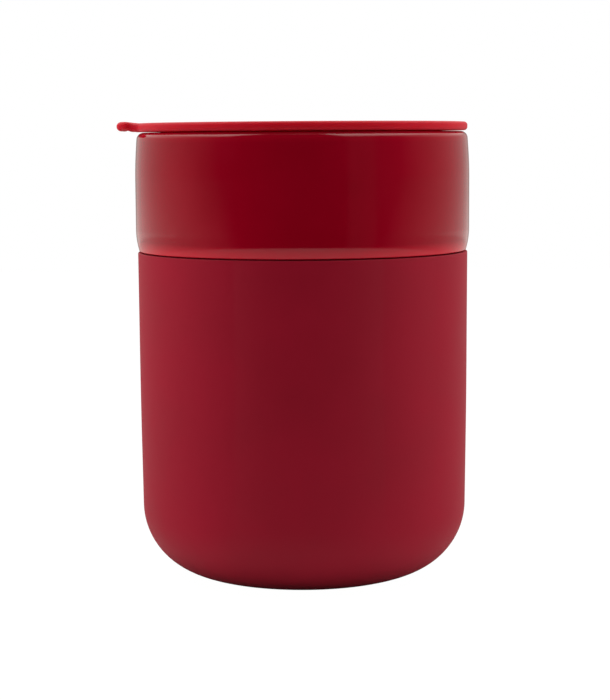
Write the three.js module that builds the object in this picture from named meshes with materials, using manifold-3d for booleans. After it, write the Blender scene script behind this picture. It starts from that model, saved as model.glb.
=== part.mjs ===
// Lidded travel mug: a glazed ceramic cup standing in a silicone sleeve, closed by a press-in lid
// that carries a silicone seal. Millimetres, +Z up, origin at the centre of the base.
// The lid's pull tab points to -X and its sip opening lies at +X.
import * as THREE from "three";
import { mergeVertices } from "three/addons/utils/BufferGeometryUtils.js";
import Module from "manifold-3d";

// Silicone sleeve
const SLEEVE_RADIUS = 44.5; // outside, at the top edge
const SLEEVE_HEIGHT = 87.4;
const SLEEVE_WALL = 2.5;
const SLEEVE_FLOOR = 2.5;
const SLEEVE_EDGE_ROUND = 0.3; // both edges of the sleeve's mouth
const SIDE_DRAFT_DEG = 0.48; // lean of the sides, narrower downwards
const SIDE_BOW = 0.2; // the outside swells by this much between its ends
const SIDE_BOW_HEIGHT = 44; // where it is fullest
const SIDE_BOW_ROUND = 2500;
const BASE_CORNER = 19; // outside radius of the rounded bottom
const GRIP_GROOVE_RADIUS = 15; // middle of the ring groove in the standing face
const GRIP_GROOVE_WIDTH = 2.4;
const GRIP_GROOVE_DEPTH = 0.7;

// Ceramic cup
const SEAT_GAP = 0.3; // between the cup and the sleeve all round
const SEAM_GAP = 0.3; // between the sleeve's top edge and the glazed band
const CUP_WALL = 4.4; // behind the sleeve
const CUP_FLOOR = 4.5;
const CUP_INNER_CORNER = 14;
const FOOT_WIDTH = 5; // foot ring that the cup stands on
const FOOT_DEPTH = 1.5;
const FOOT_ROUND = 0.5;
const BAND_HEIGHT = 31.7; // glazed band above the sleeve, up to the rim
const BAND_PROUD = 0.45; // the band stands out past the sleeve
const BAND_TUCK = 0.85; // the band's lower edge turns in by this much
const BAND_TUCK_HEIGHT = 3.5;
const BAND_LOWER_ROUND = 20;
const BAND_EDGE_ROUND = 0.4;
const RIM_LEAN = 0.6; // the band leans in towards the rim
const RIM_LEAN_HEIGHT = 8.5;
const RIM_LEAN_ROUND = 120;
const RIM_OUTER_ROUND = 1.9;
const RIM_INNER_ROUND = 2;

// Press-in lid
const LID_GAP = 0.2; // between the rim and the underside of the lid's plate
const LID_INSET = 0.55; // the plate's edge lies inside the band's outside
const LID_THICKNESS = 2.3;
const LID_EDGE_ROUND = 0.9;
const COLLAR_CLEARANCE = 0.3; // between the lid's collar and the cup's bore
const COLLAR_HEIGHT = 1.6;
const GROOVE_HEIGHT = 5.6; // groove that holds the seal
const GROOVE_DEPTH = 2.4;
const FLANGE_HEIGHT = 1.8; // below the groove
const FLANGE_INSET = 0.5; // the flange is smaller than the collar, to enter the bore
const PLUG_WALL = 1.9; // behind the groove
const PLUG_ROUND = 0.5;
const SIP_WIDTH = 7; // across the sip opening, along the radius
const SIP_SPAN = 18; // along the sip opening, end to end
const SIP_MARGIN = 0.8; // between the sip opening and the plug's inner wall
const WELL_MARGIN = 2.6; // shallow drip well round the sip opening
const WELL_DEPTH = 0.6;
const VENT_RADIUS = 1.1;
const VENT_MARGIN = 4; // between the vent's centre and the plug's inner wall
const TAB_REACH = 5.1; // past the edge of the plate
const TAB_WIDTH = 16;
const TAB_CORNER = 4; // plan radius of the tab's free corners
const TAB_FILLET = 3; // plan radius where the tab leaves the plate
const TAB_LAP = 5; // length of the tab that lies within the plate
const TAB_ROOT = 0.6; // past the edge of the plate, before the hollow begins
const TAB_RISE = 0.4; // the tip's bead stands above the plate
const TAB_BEAD = 1.25; // radius of the bead
const TAB_HOLLOW = 0.5; // finger hollow under the tab

// Silicone seal on the lid's plug
const SEAL_CLEARANCE = 0.3; // to the groove and to the cup's bore
const SEAL_BODY = 1; // thickness of the band in the groove
const SEAL_LIPS = 2;
const SEAL_LIP_ROOT = 1.5;
const SEAL_LIP_TIP = 0.7;

// Fineness of the round faces
const TURN_SEGMENTS = 48;
const CHORD_ERROR = 0.04; // of an arc in a profile
const PLAN_STEPS = 8; // of an arc in a plan outline

// Sizes that follow from those above
const DRAFT = Math.tan(THREE.MathUtils.degToRad(SIDE_DRAFT_DEG));
const SLEEVE_INNER_CORNER = BASE_CORNER - SLEEVE_WALL;
const CUP_BASE = SLEEVE_FLOOR + SEAT_GAP;
const CUP_CORNER = SLEEVE_INNER_CORNER - SEAT_GAP;
const SEAT_RADIUS = SLEEVE_RADIUS - SLEEVE_WALL - SEAT_GAP; // of the cup at the sleeve's top edge
const BORE_RADIUS = SEAT_RADIUS - CUP_WALL;
const BAND_BOTTOM = SLEEVE_HEIGHT + SEAM_GAP - CUP_BASE; // heights in the cup start at its base
const RIM_TOP = BAND_BOTTOM + BAND_HEIGHT;
const BAND_RADIUS = SLEEVE_RADIUS + BAND_PROUD;
const LID_RADIUS = BAND_RADIUS - LID_INSET;
const COLLAR_RADIUS = BORE_RADIUS - COLLAR_CLEARANCE;
const GROOVE_RADIUS = COLLAR_RADIUS - GROOVE_DEPTH;
const PLUG_INNER_RADIUS = GROOVE_RADIUS - PLUG_WALL;

const wasm = await Module();
wasm.setup();

// Points of a turned profile through corners [radius, height, rounding], an arc at each rounded corner
function roundedProfile(corners) {
  const at = corners.map(([radius, height]) => new THREE.Vector2(radius, height));
  return corners.flatMap(([, , rounding = 0], i) => {
    if (!rounding) return [at[i]];
    const back = at[i - 1].clone().sub(at[i]).normalize();
    const ahead = at[i + 1].clone().sub(at[i]).normalize();
    const halfAngle = Math.acos(back.dot(ahead)) / 2;
    const toCentre = back.clone().add(ahead).setLength(rounding / Math.sin(halfAngle));
    const centre = at[i].clone().add(toCentre);
    const turn = (Math.PI - 2 * halfAngle) * Math.sign(ahead.cross(back));
    const start = back.multiplyScalar(rounding / Math.tan(halfAngle)).add(at[i]).sub(centre);
    const steps = Math.max(2, Math.ceil(Math.abs(turn) / (2 * Math.acos(1 - CHORD_ERROR / rounding))));
    return Array.from({ length: steps + 1 }, (_, k) =>
      start.clone().rotateAround(new THREE.Vector2(), (turn * k) / steps).add(centre),
    );
  });
}

// Solid of revolution about Z: the profile runs out along the bottom, up the outside and back in
function turned(corners) {
  return new THREE.LatheGeometry(roundedProfile(corners), TURN_SEGMENTS).rotateX(Math.PI / 2);
}

// Prism of a plan outline between two heights
function prism(outline, bottom, top) {
  const geometry = new THREE.ExtrudeGeometry(outline, {
    depth: top - bottom,
    bevelEnabled: false,
    curveSegments: PLAN_STEPS,
  });
  return geometry.translate(0, 0, bottom);
}

function solidOf(geometry) {
  const bare = geometry.index ? geometry.toNonIndexed() : geometry.clone();
  bare.deleteAttribute("normal");
  bare.deleteAttribute("uv");
  const merged = mergeVertices(bare);
  return new wasm.Manifold(
    new wasm.Mesh({
      numProp: 3,
      vertProperties: merged.attributes.position.array,
      triVerts: new Uint32Array(merged.index.array),
    }),
  );
}

function geometryOf(solid) {
  const { vertProperties, triVerts } = solid.getMesh();
  const geometry = new THREE.BufferGeometry();
  geometry.setAttribute("position", new THREE.BufferAttribute(vertProperties, 3));
  geometry.setIndex(new THREE.BufferAttribute(triVerts, 1));
  geometry.computeVertexNormals();
  return geometry;
}

// Outside radius of the sleeve at a height, from the draft of its side
function sleeveRadiusAt(height) {
  return SLEEVE_RADIUS - DRAFT * (SLEEVE_HEIGHT - height);
}

// Sleeve: an open-topped shell with a rounded bottom and a grip groove in its standing face
function sleeveGeometry() {
  const grooveIn = GRIP_GROOVE_RADIUS - GRIP_GROOVE_WIDTH / 2;
  const grooveOut = GRIP_GROOVE_RADIUS + GRIP_GROOVE_WIDTH / 2;
  return turned([
    [0, 0],
    [grooveIn, 0],
    [grooveIn, GRIP_GROOVE_DEPTH],
    [grooveOut, GRIP_GROOVE_DEPTH],
    [grooveOut, 0],
    [sleeveRadiusAt(0), 0, BASE_CORNER],
    [sleeveRadiusAt(SIDE_BOW_HEIGHT) + SIDE_BOW, SIDE_BOW_HEIGHT, SIDE_BOW_ROUND],
    [SLEEVE_RADIUS, SLEEVE_HEIGHT, SLEEVE_EDGE_ROUND],
    [SLEEVE_RADIUS - SLEEVE_WALL, SLEEVE_HEIGHT, SLEEVE_EDGE_ROUND],
    [sleeveRadiusAt(SLEEVE_FLOOR) - SLEEVE_WALL, SLEEVE_FLOOR, SLEEVE_INNER_CORNER],
    [0, SLEEVE_FLOOR],
  ]);
}

// Cup: foot ring, seat for the sleeve, shoulder, glazed band, rolled rim and bore
function cupGeometry() {
  const seatFoot = sleeveRadiusAt(CUP_BASE) - SLEEVE_WALL - SEAT_GAP;
  const footInner = seatFoot - CUP_CORNER - FOOT_WIDTH;
  const innerFloor = FOOT_DEPTH + CUP_FLOOR;
  const innerFoot = BORE_RADIUS - DRAFT * (BAND_BOTTOM - innerFloor);
  return turned([
    [0, FOOT_DEPTH],
    [footInner, FOOT_DEPTH, FOOT_ROUND],
    [footInner, 0, FOOT_ROUND],
    [seatFoot, 0, CUP_CORNER],
    [SEAT_RADIUS, BAND_BOTTOM],
    [BAND_RADIUS - BAND_TUCK, BAND_BOTTOM, BAND_EDGE_ROUND],
    [BAND_RADIUS, BAND_BOTTOM + BAND_TUCK_HEIGHT, BAND_LOWER_ROUND],
    [BAND_RADIUS, RIM_TOP - RIM_LEAN_HEIGHT, RIM_LEAN_ROUND],
    [BAND_RADIUS - RIM_LEAN, RIM_TOP, RIM_OUTER_ROUND],
    [BORE_RADIUS, RIM_TOP, RIM_INNER_ROUND],
    [BORE_RADIUS, BAND_BOTTOM],
    [innerFoot, innerFloor, CUP_INNER_CORNER],
    [0, innerFloor],
  ]);
}

// Lid's plate and plug: heights start at the underside of the plate
function lidBodyGeometry() {
  const grooveTop = -COLLAR_HEIGHT;
  const grooveBottom = grooveTop - GROOVE_HEIGHT;
  const plugBottom = grooveBottom - FLANGE_HEIGHT;
  const flangeRadius = COLLAR_RADIUS - FLANGE_INSET;
  return turned([
    [0, 0],
    [PLUG_INNER_RADIUS, 0, PLUG_ROUND],
    [PLUG_INNER_RADIUS, plugBottom, PLUG_ROUND],
    [flangeRadius, plugBottom, PLUG_ROUND],
    [flangeRadius, grooveBottom],
    [GROOVE_RADIUS, grooveBottom],
    [GROOVE_RADIUS, grooveTop],
    [COLLAR_RADIUS, grooveTop],
    [COLLAR_RADIUS, 0],
    [LID_RADIUS, 0, LID_EDGE_ROUND],
    [LID_RADIUS, LID_THICKNESS, LID_EDGE_ROUND],
    [0, LID_THICKNESS],
  ]);
}

// Plan outline of the sip opening, a slot along an arc with round ends, grown by a margin
function sipOutline(margin) {
  const middle = PLUG_INNER_RADIUS - SIP_MARGIN - SIP_WIDTH / 2;
  const half = SIP_WIDTH / 2 + margin;
  const swing = (SIP_SPAN - SIP_WIDTH) / 2 / middle;
  const endX = middle * Math.cos(swing);
  const endY = middle * Math.sin(swing);
  return new THREE.Shape()
    .absarc(0, 0, middle + half, -swing, swing, false)
    .absarc(endX, endY, half, swing, swing + Math.PI, false)
    .absarc(0, 0, middle - half, swing, -swing, true)
    .absarc(endX, -endY, half, Math.PI - swing, 2 * Math.PI - swing, false);
}

function ventOutline() {
  return new THREE.Shape().absarc(VENT_MARGIN - PLUG_INNER_RADIUS, 0, VENT_RADIUS, 0, 2 * Math.PI);
}

// Plan outline of the tab, pointing to -X, with hollow fillets where it leaves the plate
function tabPlan() {
  const half = TAB_WIDTH / 2;
  const tip = -(LID_RADIUS + TAB_REACH);
  const filletY = half + TAB_FILLET;
  const filletX = -Math.sqrt((LID_RADIUS + TAB_FILLET) ** 2 - filletY ** 2);
  const leave = Math.atan2(filletY, -filletX); // swing of the fillet's end on the plate's edge
  const cornerX = Math.min(tip + TAB_CORNER, filletX);
  const corner = cornerX - tip;
  const root = TAB_LAP - LID_RADIUS;
  return new THREE.Shape()
    .moveTo(root, -filletY)
    .lineTo(root, filletY)
    .absarc(filletX, filletY, TAB_FILLET, -leave, -Math.PI / 2, true)
    .absarc(cornerX, half - corner, corner, Math.PI / 2, Math.PI, false)
    .absarc(cornerX, corner - half, corner, Math.PI, 1.5 * Math.PI, false)
    .absarc(filletX, -filletY, TAB_FILLET, Math.PI / 2, leave, true);
}

// Side view of the tab: level with the plate at its root, hollow below, ending in a raised bead
function tabSide() {
  const root = LID_RADIUS - TAB_LAP;
  const beadAt = LID_RADIUS + TAB_REACH - TAB_BEAD;
  const beadTop = LID_THICKNESS + TAB_RISE;
  const beadMiddle = beadTop - TAB_BEAD;
  const hollowAt = beadAt - TAB_BEAD;
  const hollowFrom = LID_RADIUS + TAB_ROOT;
  const underMiddle = (hollowFrom + hollowAt) / 2;
  const topMiddle = (LID_RADIUS + hollowAt) / 2;
  return new THREE.Shape()
    .moveTo(root, 0)
    .lineTo(hollowFrom, 0)
    .bezierCurveTo(underMiddle, 0, underMiddle, TAB_HOLLOW, hollowAt, TAB_HOLLOW)
    .lineTo(beadAt, beadMiddle - TAB_BEAD)
    .absarc(beadAt, beadMiddle, TAB_BEAD, -Math.PI / 2, Math.PI / 2, false)
    .lineTo(hollowAt, beadTop)
    .bezierCurveTo(topMiddle, beadTop, topMiddle, LID_THICKNESS, LID_RADIUS, LID_THICKNESS)
    .lineTo(root, LID_THICKNESS);
}

function tabSolid() {
  const reach = TAB_WIDTH / 2 + 2 * TAB_FILLET;
  const side = prism(tabSide(), -reach, reach).rotateX(Math.PI / 2).rotateZ(Math.PI);
  const plan = prism(tabPlan(), -LID_THICKNESS, 3 * LID_THICKNESS);
  return solidOf(side).intersect(solidOf(plan));
}

// Lid: plate, plug and tab in one moulding, with the sip opening, its drip well and a vent
function lidGeometry() {
  const above = 2 * LID_THICKNESS;
  const below = -LID_THICKNESS;
  const lid = solidOf(lidBodyGeometry())
    .add(tabSolid())
    .subtract(solidOf(prism(sipOutline(WELL_MARGIN), LID_THICKNESS - WELL_DEPTH, above)))
    .subtract(solidOf(prism(sipOutline(0), below, above)))
    .subtract(solidOf(prism(ventOutline(), below, above)));
  return geometryOf(lid);
}

// Seal: a band that fills the lid's groove, with lips that bear on the bore
function sealGeometry() {
  const top = -COLLAR_HEIGHT - SEAL_CLEARANCE;
  const height = GROOVE_HEIGHT - 2 * SEAL_CLEARANCE;
  const inner = GROOVE_RADIUS + SEAL_CLEARANCE;
  const outer = inner + SEAL_BODY;
  const lipRadius = BORE_RADIUS - SEAL_CLEARANCE;
  const pitch = height / SEAL_LIPS;
  const lips = Array.from({ length: SEAL_LIPS }, (_, i) => {
    const middle = top - height + pitch * (i + 0.5);
    return [
      [outer, middle - SEAL_LIP_ROOT / 2],
      [lipRadius, middle - SEAL_LIP_TIP / 2],
      [lipRadius, middle + SEAL_LIP_TIP / 2],
      [outer, middle + SEAL_LIP_ROOT / 2],
    ];
  });
  return turned([
    [inner, top],
    [inner, top - height],
    [outer, top - height],
    ...lips.flat(),
    [outer, top],
    [inner, top],
  ]);
}

function material(color, roughness) {
  return new THREE.MeshStandardMaterial({ color, roughness, metalness: 0 });
}

const GLAZE = material(0x8c0818, 0.08);
const SLEEVE_SILICONE = material(0x8a1526, 0.6);
const LID_PLASTIC = material(0xa81a2c, 0.4);
const SEAL_SILICONE = material(0x9c1c2e, 0.5);

function piece(name, geometry, finish) {
  const mesh = new THREE.Mesh(geometry, finish);
  mesh.name = name;
  return mesh;
}

// The lid and its seal sit on the cup, and the cup stands in the sleeve
const lidGroup = new THREE.Group();
lidGroup.add(piece("lid", lidGeometry(), LID_PLASTIC));
lidGroup.add(piece("lid_seal", sealGeometry(), SEAL_SILICONE));
lidGroup.position.z = RIM_TOP + LID_GAP;

const cupGroup = new THREE.Group();
cupGroup.add(piece("ceramic_cup", cupGeometry(), GLAZE), lidGroup);
cupGroup.position.z = CUP_BASE;

const mug = new THREE.Group();
mug.add(piece("silicone_sleeve", sleeveGeometry(), SLEEVE_SILICONE), cupGroup);

export default mug;
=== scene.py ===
"""Looks of a lidded travel mug: a glazed cup in a silicone sleeve, closed by a press-in lid with a seal.

Metres, +Z up, origin at the centre of the standing face. The lid's tab points to -X, its sip opening to +X.
"""
import math

import bmesh
import bpy
import numpy as np
from mathutils import Matrix, Vector


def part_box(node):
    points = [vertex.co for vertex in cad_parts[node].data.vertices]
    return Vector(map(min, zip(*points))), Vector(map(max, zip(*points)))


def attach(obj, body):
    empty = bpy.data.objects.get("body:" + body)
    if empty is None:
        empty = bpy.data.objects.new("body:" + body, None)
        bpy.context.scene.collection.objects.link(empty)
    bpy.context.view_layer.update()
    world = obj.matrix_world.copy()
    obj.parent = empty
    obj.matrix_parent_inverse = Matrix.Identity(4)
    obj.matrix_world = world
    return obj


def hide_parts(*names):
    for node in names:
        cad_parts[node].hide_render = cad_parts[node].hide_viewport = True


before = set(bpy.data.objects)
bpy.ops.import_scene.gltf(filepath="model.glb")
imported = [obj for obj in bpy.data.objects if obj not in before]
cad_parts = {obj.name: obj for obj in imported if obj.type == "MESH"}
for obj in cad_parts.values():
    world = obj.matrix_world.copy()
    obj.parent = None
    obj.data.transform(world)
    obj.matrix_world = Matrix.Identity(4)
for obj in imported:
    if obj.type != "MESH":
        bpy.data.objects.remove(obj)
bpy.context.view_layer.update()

MM = 0.001

# Places and overall sizes, read from the solids
_, sleeve_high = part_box("silicone_sleeve")
cup_low, cup_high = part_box("ceramic_cup")
lid_low, lid_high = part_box("lid")
_, seal_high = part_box("lid_seal")

# Sleeve
SLEEVE_RADIUS = sleeve_high.x
SLEEVE_HEIGHT = sleeve_high.z
SLEEVE_WALL = 2.5 * MM
SLEEVE_FLOOR = 2.5 * MM
SLEEVE_EDGE_ROUND = 0.3 * MM
SIDE_DRAFT = math.tan(math.radians(0.48))
SIDE_BOW = 0.2 * MM
SIDE_BOW_HEIGHT = 44 * MM
SIDE_BOW_ROUND = 2500 * MM
BASE_CORNER = 19 * MM
GRIP_GROOVE_RADIUS = 15 * MM
GRIP_GROOVE_WIDTH = 2.4 * MM
GRIP_GROOVE_DEPTH = 0.7 * MM
GRIP_GROOVE_ROUND = 0.25 * MM
SLEEVE_WAVE = 0.03 * MM
SLEEVE_WAVE_LENGTH = 45 * MM

# Cup
SEAT_GAP = cup_low.z - SLEEVE_FLOOR
SEAM_GAP = 0.3 * MM
CUP_WALL = 4.4 * MM
CUP_FLOOR = 4.5 * MM
CUP_INNER_CORNER = 14 * MM
FOOT_WIDTH = 5 * MM
FOOT_DEPTH = 1.5 * MM
FOOT_ROUND = 0.5 * MM
BAND_RADIUS = cup_high.x
BAND_TUCK = 0.85 * MM
BAND_TUCK_HEIGHT = 3.5 * MM
BAND_LOWER_ROUND = 20 * MM
BAND_EDGE_ROUND = 0.4 * MM
SHOULDER_ROUND = 0.3 * MM
RIM_TOP = cup_high.z
RIM_LEAN = 0.6 * MM
RIM_LEAN_HEIGHT = 8.5 * MM
RIM_LEAN_ROUND = 120 * MM
RIM_OUTER_ROUND = 1.9 * MM
RIM_INNER_ROUND = 2 * MM
GLAZE_WAVE = 0.02 * MM
GLAZE_WAVE_LENGTH = 26 * MM

# Lid
LID_RADIUS = lid_high.x
LID_THICKNESS = 2.3 * MM
LID_EDGE_ROUND = 0.9 * MM
COLLAR_HEIGHT = 1.6 * MM
GROOVE_HEIGHT = 5.6 * MM
GROOVE_DEPTH = 2.4 * MM
GROOVE_ROUND = 0.2 * MM
FLANGE_HEIGHT = 1.8 * MM
FLANGE_INSET = 0.5 * MM
PLUG_WALL = 1.9 * MM
PLUG_ROUND = 0.5 * MM
PLUG_ROOT_ROUND = 0.3 * MM
SIP_WIDTH = 7 * MM
SIP_SPAN = 18 * MM
SIP_MARGIN = 0.8 * MM
WELL_MARGIN = 2.6 * MM
WELL_DEPTH = 0.6 * MM
VENT_RADIUS = 1.1 * MM
VENT_MARGIN = 4 * MM
HOLE_ROUND = 0.2 * MM
TAB_TIP = -lid_low.x
TAB_WIDTH = 16 * MM
TAB_CORNER = 4 * MM
TAB_FILLET = 3 * MM
TAB_ROOT = 0.6 * MM
TAB_RISE = 0.4 * MM
TAB_BEAD = 1.25 * MM
TAB_HOLLOW = 0.5 * MM

# Seal
SEAL_CLEARANCE = 0.3 * MM
SEAL_BODY = 1 * MM
SEAL_LIPS = 2
SEAL_LIP_ROOT = 1.5 * MM
SEAL_LIP_TIP = 0.7 * MM
SEAL_ROUND = 0.2 * MM
SEAL_WAVE = 0.01 * MM
SEAL_WAVE_LENGTH = 12 * MM

# Sizes that follow from those above
CUP_BASE = cup_low.z
CUP_CORNER = BASE_CORNER - SLEEVE_WALL - SEAT_GAP
SEAT_RADIUS = SLEEVE_RADIUS - SLEEVE_WALL - SEAT_GAP
BAND_BOTTOM = SLEEVE_HEIGHT + SEAM_GAP
LID_TOP = lid_high.z - TAB_RISE
LID_UNDER = LID_TOP - LID_THICKNESS
COLLAR_RADIUS = seal_high.x
GROOVE_RADIUS = COLLAR_RADIUS - GROOVE_DEPTH
PLUG_INNER_RADIUS = GROOVE_RADIUS - PLUG_WALL
FLANGE_RADIUS = COLLAR_RADIUS - FLANGE_INSET
GROOVE_TOP = LID_UNDER - COLLAR_HEIGHT
GROOVE_BOTTOM = GROOVE_TOP - GROOVE_HEIGHT
PLUG_BOTTOM = GROOVE_BOTTOM - FLANGE_HEIGHT
BEAD_AT = TAB_TIP - TAB_BEAD
HOLLOW_AT = BEAD_AT - TAB_BEAD
BEAD_UNDER = LID_THICKNESS + TAB_RISE - 2 * TAB_BEAD

# Fineness of the meshes
TURN_STEPS = 192
ARC_STEPS = 24
PROFILE_STEP = 1.5 * MM
PLAN_ARC_STEPS = 12
HOLE_STEPS = 48
EDGE_STEPS = 8
FLAT_STEPS = 4
PLATE_INSET = 3 * MM
INSET_STEPS = 4
TOP_FLAT_RADIUS = COLLAR_RADIUS
MERGE_DISTANCE = 0.001 * MM

# Noise: the middle of its values, the range that most of them lie in, and the detail of a slow wave
NOISE_MIDDLE = 0.5
NOISE_SPAN = (0.3, 0.7)
WAVE_DETAIL = 1.0

# Camera, in the photograph's frame
CAMERA_AT = Vector((-0.59, -513.7, 117.0)) * MM
CAMERA_LENS = 97.4
CAMERA_SENSOR = 36
CAMERA_PITCH = math.radians(6.301)
CAMERA_YAW = math.radians(0.1169)
CAMERA_ROLL = math.radians(0.34)


def add(tree, kind, inputs=None, **settings):
    """A new node with these settings. Each input is set to a value, or linked from another node's output."""
    node = tree.nodes.new(kind)
    for name, value in settings.items():
        setattr(node, name, value)
    for key, value in (inputs or {}).items():
        feed(tree, node.inputs[key], value)
    return node


def feed(tree, socket, value):
    """Links an output, or the output that a Size stands for, to a socket, or sets the socket to a value."""
    if isinstance(value, Size):
        value = value.output
    if isinstance(value, bpy.types.NodeSocket):
        tree.links.new(value, socket)
    else:
        socket.default_value = value


class Size:
    """A number inside a node tree. Sums, differences, products and shares of sizes become Math nodes."""

    def __init__(self, tree, output):
        self.tree = tree
        self.output = output

    def worked_out(self, operation, other):
        node = add(self.tree, "ShaderNodeMath", {0: self, 1: other}, operation=operation)
        return Size(self.tree, node.outputs["Value"])

    def __add__(self, other):
        return self.worked_out("ADD", other)

    def __sub__(self, other):
        return self.worked_out("SUBTRACT", other)

    def __mul__(self, other):
        return self.worked_out("MULTIPLY", other)

    def __truediv__(self, other):
        return self.worked_out("DIVIDE", other)


def new_object(name, data):
    """An object at the origin, linked into the scene."""
    made = bpy.data.objects.new(name, data)
    bpy.context.scene.collection.objects.link(made)
    return made


# Turned pieces, made by Geometry Nodes


def profile_points(tree, corners, arc_steps, profile_step):
    """Points along a turned profile in the XZ plane, through corners (radius, height, rounding)."""
    index = add(tree, "GeometryNodeInputIndex").outputs["Index"]
    position = add(tree, "GeometryNodeInputPosition").outputs["Position"]
    place = add(tree, "GeometryNodeIndexSwitch", {"Index": index}, data_type="VECTOR")
    rounding = add(tree, "GeometryNodeIndexSwitch", {"Index": index}, data_type="FLOAT")
    for switch in (place, rounding):
        while len(switch.index_switch_items) < len(corners):
            switch.index_switch_items.new()
    for i, (radius, height, corner_round) in enumerate(corners):
        corner = add(tree, "ShaderNodeCombineXYZ", {"X": radius, "Z": height})
        feed(tree, place.inputs[str(i)], corner.outputs["Vector"])
        feed(tree, rounding.inputs[str(i)], corner_round)
    line = add(tree, "GeometryNodeMeshLine", {"Count": len(corners)})
    placed = add(
        tree,
        "GeometryNodeSetPosition",
        {"Geometry": line.outputs["Mesh"], "Position": place.outputs["Output"]},
    )
    sharp = add(tree, "GeometryNodeMeshToCurve", {"Mesh": placed.outputs["Geometry"]})
    rounded = add(
        tree,
        "GeometryNodeFilletCurve",
        {
            "Curve": sharp.outputs["Curve"],
            "Count": arc_steps,
            "Radius": rounding.outputs["Output"],
            "Limit Radius": True,
        },
        mode="POLY",
    )
    following = add(tree, "GeometryNodeOffsetPointInCurve", {"Point Index": index, "Offset": 1})
    ahead = add(
        tree,
        "GeometryNodeFieldAtIndex",
        {"Index": following.outputs["Point Index"], "Value": position},
        data_type="FLOAT_VECTOR",
    )
    length = add(
        tree,
        "ShaderNodeVectorMath",
        {0: position, 1: ahead.outputs["Value"]},
        operation="DISTANCE",
    )
    cuts = Size(tree, length.outputs["Value"]) / profile_step
    divided = add(tree, "GeometryNodeSubdivideCurve", {"Curve": rounded.outputs["Curve"], "Cuts": cuts})
    points = add(
        tree,
        "GeometryNodeCurveToPoints",
        {"Curve": divided.outputs["Curve"]},
        mode="EVALUATED",
    )
    return points.outputs["Points"]


def turned_surface(tree, points, steps_around):
    """Closed surface made by turning the profile's points about Z."""
    index = add(tree, "GeometryNodeInputIndex").outputs["Index"]
    position = add(tree, "GeometryNodeInputPosition").outputs["Position"]
    size = add(tree, "GeometryNodeAttributeDomainSize", {"Geometry": points}, component="POINTCLOUD")
    count = size.outputs["Point Count"]
    grid = add(
        tree,
        "GeometryNodeMeshGrid",
        {"Vertices X": Size(tree, steps_around) + 1, "Vertices Y": count},
    )
    row = add(tree, "FunctionNodeIntegerMath", {0: index, 1: count}, operation="MODULO")
    column = add(tree, "FunctionNodeIntegerMath", {0: index, 1: count}, operation="DIVIDE_FLOOR")
    turn = Size(tree, column.outputs["Value"]) * (2 * math.pi) / steps_around
    sampled = add(
        tree,
        "GeometryNodeSampleIndex",
        {"Geometry": points, "Value": position, "Index": row.outputs["Value"]},
        data_type="FLOAT_VECTOR",
    )
    upright = add(
        tree,
        "ShaderNodeVectorRotate",
        {"Vector": sampled.outputs["Value"], "Angle": turn},
        rotation_type="Z_AXIS",
    )
    wrapped = add(
        tree,
        "GeometryNodeSetPosition",
        {"Geometry": grid.outputs["Mesh"], "Position": upright.outputs["Vector"]},
    )
    merged = add(
        tree,
        "GeometryNodeMergeByDistance",
        {"Geometry": wrapped.outputs["Geometry"], "Distance": MERGE_DISTANCE},
    )
    return merged.outputs["Geometry"]


def waved_surface(tree, surface, wave_height, waves_per_metre):
    """The surface with a slow uneven wave along its normals, as a poured glaze or soft moulding has."""
    normal = add(tree, "GeometryNodeInputNormal").outputs["Normal"]
    swell = add(tree, "ShaderNodeTexNoise", {"Scale": waves_per_metre, "Detail": WAVE_DETAIL})
    height = (Size(tree, swell.outputs["Fac"]) - NOISE_MIDDLE) * 2 * wave_height
    shift = add(tree, "ShaderNodeVectorMath", {0: normal, "Scale": height}, operation="SCALE")
    waved = add(
        tree,
        "GeometryNodeSetPosition",
        {"Geometry": surface, "Offset": shift.outputs["Vector"]},
    )
    return waved.outputs["Geometry"]


def socket_label(name):
    """A size's name as the tree's input shows it."""
    return name.replace("_", " ").capitalize()


def turned_piece(name, profile, finish, wave_height, wave_length, **sizes):
    """A plain mesh object of a turned piece, from a node tree whose inputs are the named sizes."""
    tree = bpy.data.node_groups.new(name, "GeometryNodeTree")
    values = {socket_label(size): value for size, value in sizes.items()}
    values["Wave height"] = wave_height
    values["Waves per metre"] = 1 / wave_length
    values["Profile step"] = PROFILE_STEP
    for label in values:
        tree.interface.new_socket(label, in_out="INPUT", socket_type="NodeSocketFloat")
    for label, steps in (("Steps around", TURN_STEPS), ("Arc steps", ARC_STEPS)):
        values[label] = steps
        tree.interface.new_socket(label, in_out="INPUT", socket_type="NodeSocketInt")
    values["Finish"] = finish
    tree.interface.new_socket("Finish", in_out="INPUT", socket_type="NodeSocketMaterial")
    tree.interface.new_socket("Geometry", in_out="OUTPUT", socket_type="NodeSocketGeometry")

    given = add(tree, "NodeGroupInput").outputs
    corners = profile(**{size: Size(tree, given[socket_label(size)]) for size in sizes})
    points = profile_points(tree, corners, given["Arc steps"], given["Profile step"])
    surface = turned_surface(tree, points, given["Steps around"])
    waved = waved_surface(tree, surface, given["Wave height"], given["Waves per metre"])
    smooth = add(tree, "GeometryNodeSetShadeSmooth", {"Geometry": waved})
    real = add(tree, "GeometryNodeRealizeInstances", {"Geometry": smooth.outputs["Geometry"]})
    finished = add(
        tree,
        "GeometryNodeSetMaterial",
        {"Geometry": real.outputs["Geometry"], "Material": given["Finish"]},
    )
    add(tree, "NodeGroupOutput", {"Geometry": finished.outputs["Geometry"]})

    piece = new_object(name, bpy.data.meshes.new(name))
    modifier = piece.modifiers.new("Turned", "NODES")
    modifier.node_group = tree
    for item in tree.interface.items_tree:
        if item.in_out == "INPUT":
            modifier[item.identifier] = values[item.name]
    evaluated = piece.evaluated_get(bpy.context.evaluated_depsgraph_get())
    piece.data = bpy.data.meshes.new_from_object(evaluated)
    piece.data.materials.pop(index=0)
    piece.modifiers.clear()
    return piece


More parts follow.
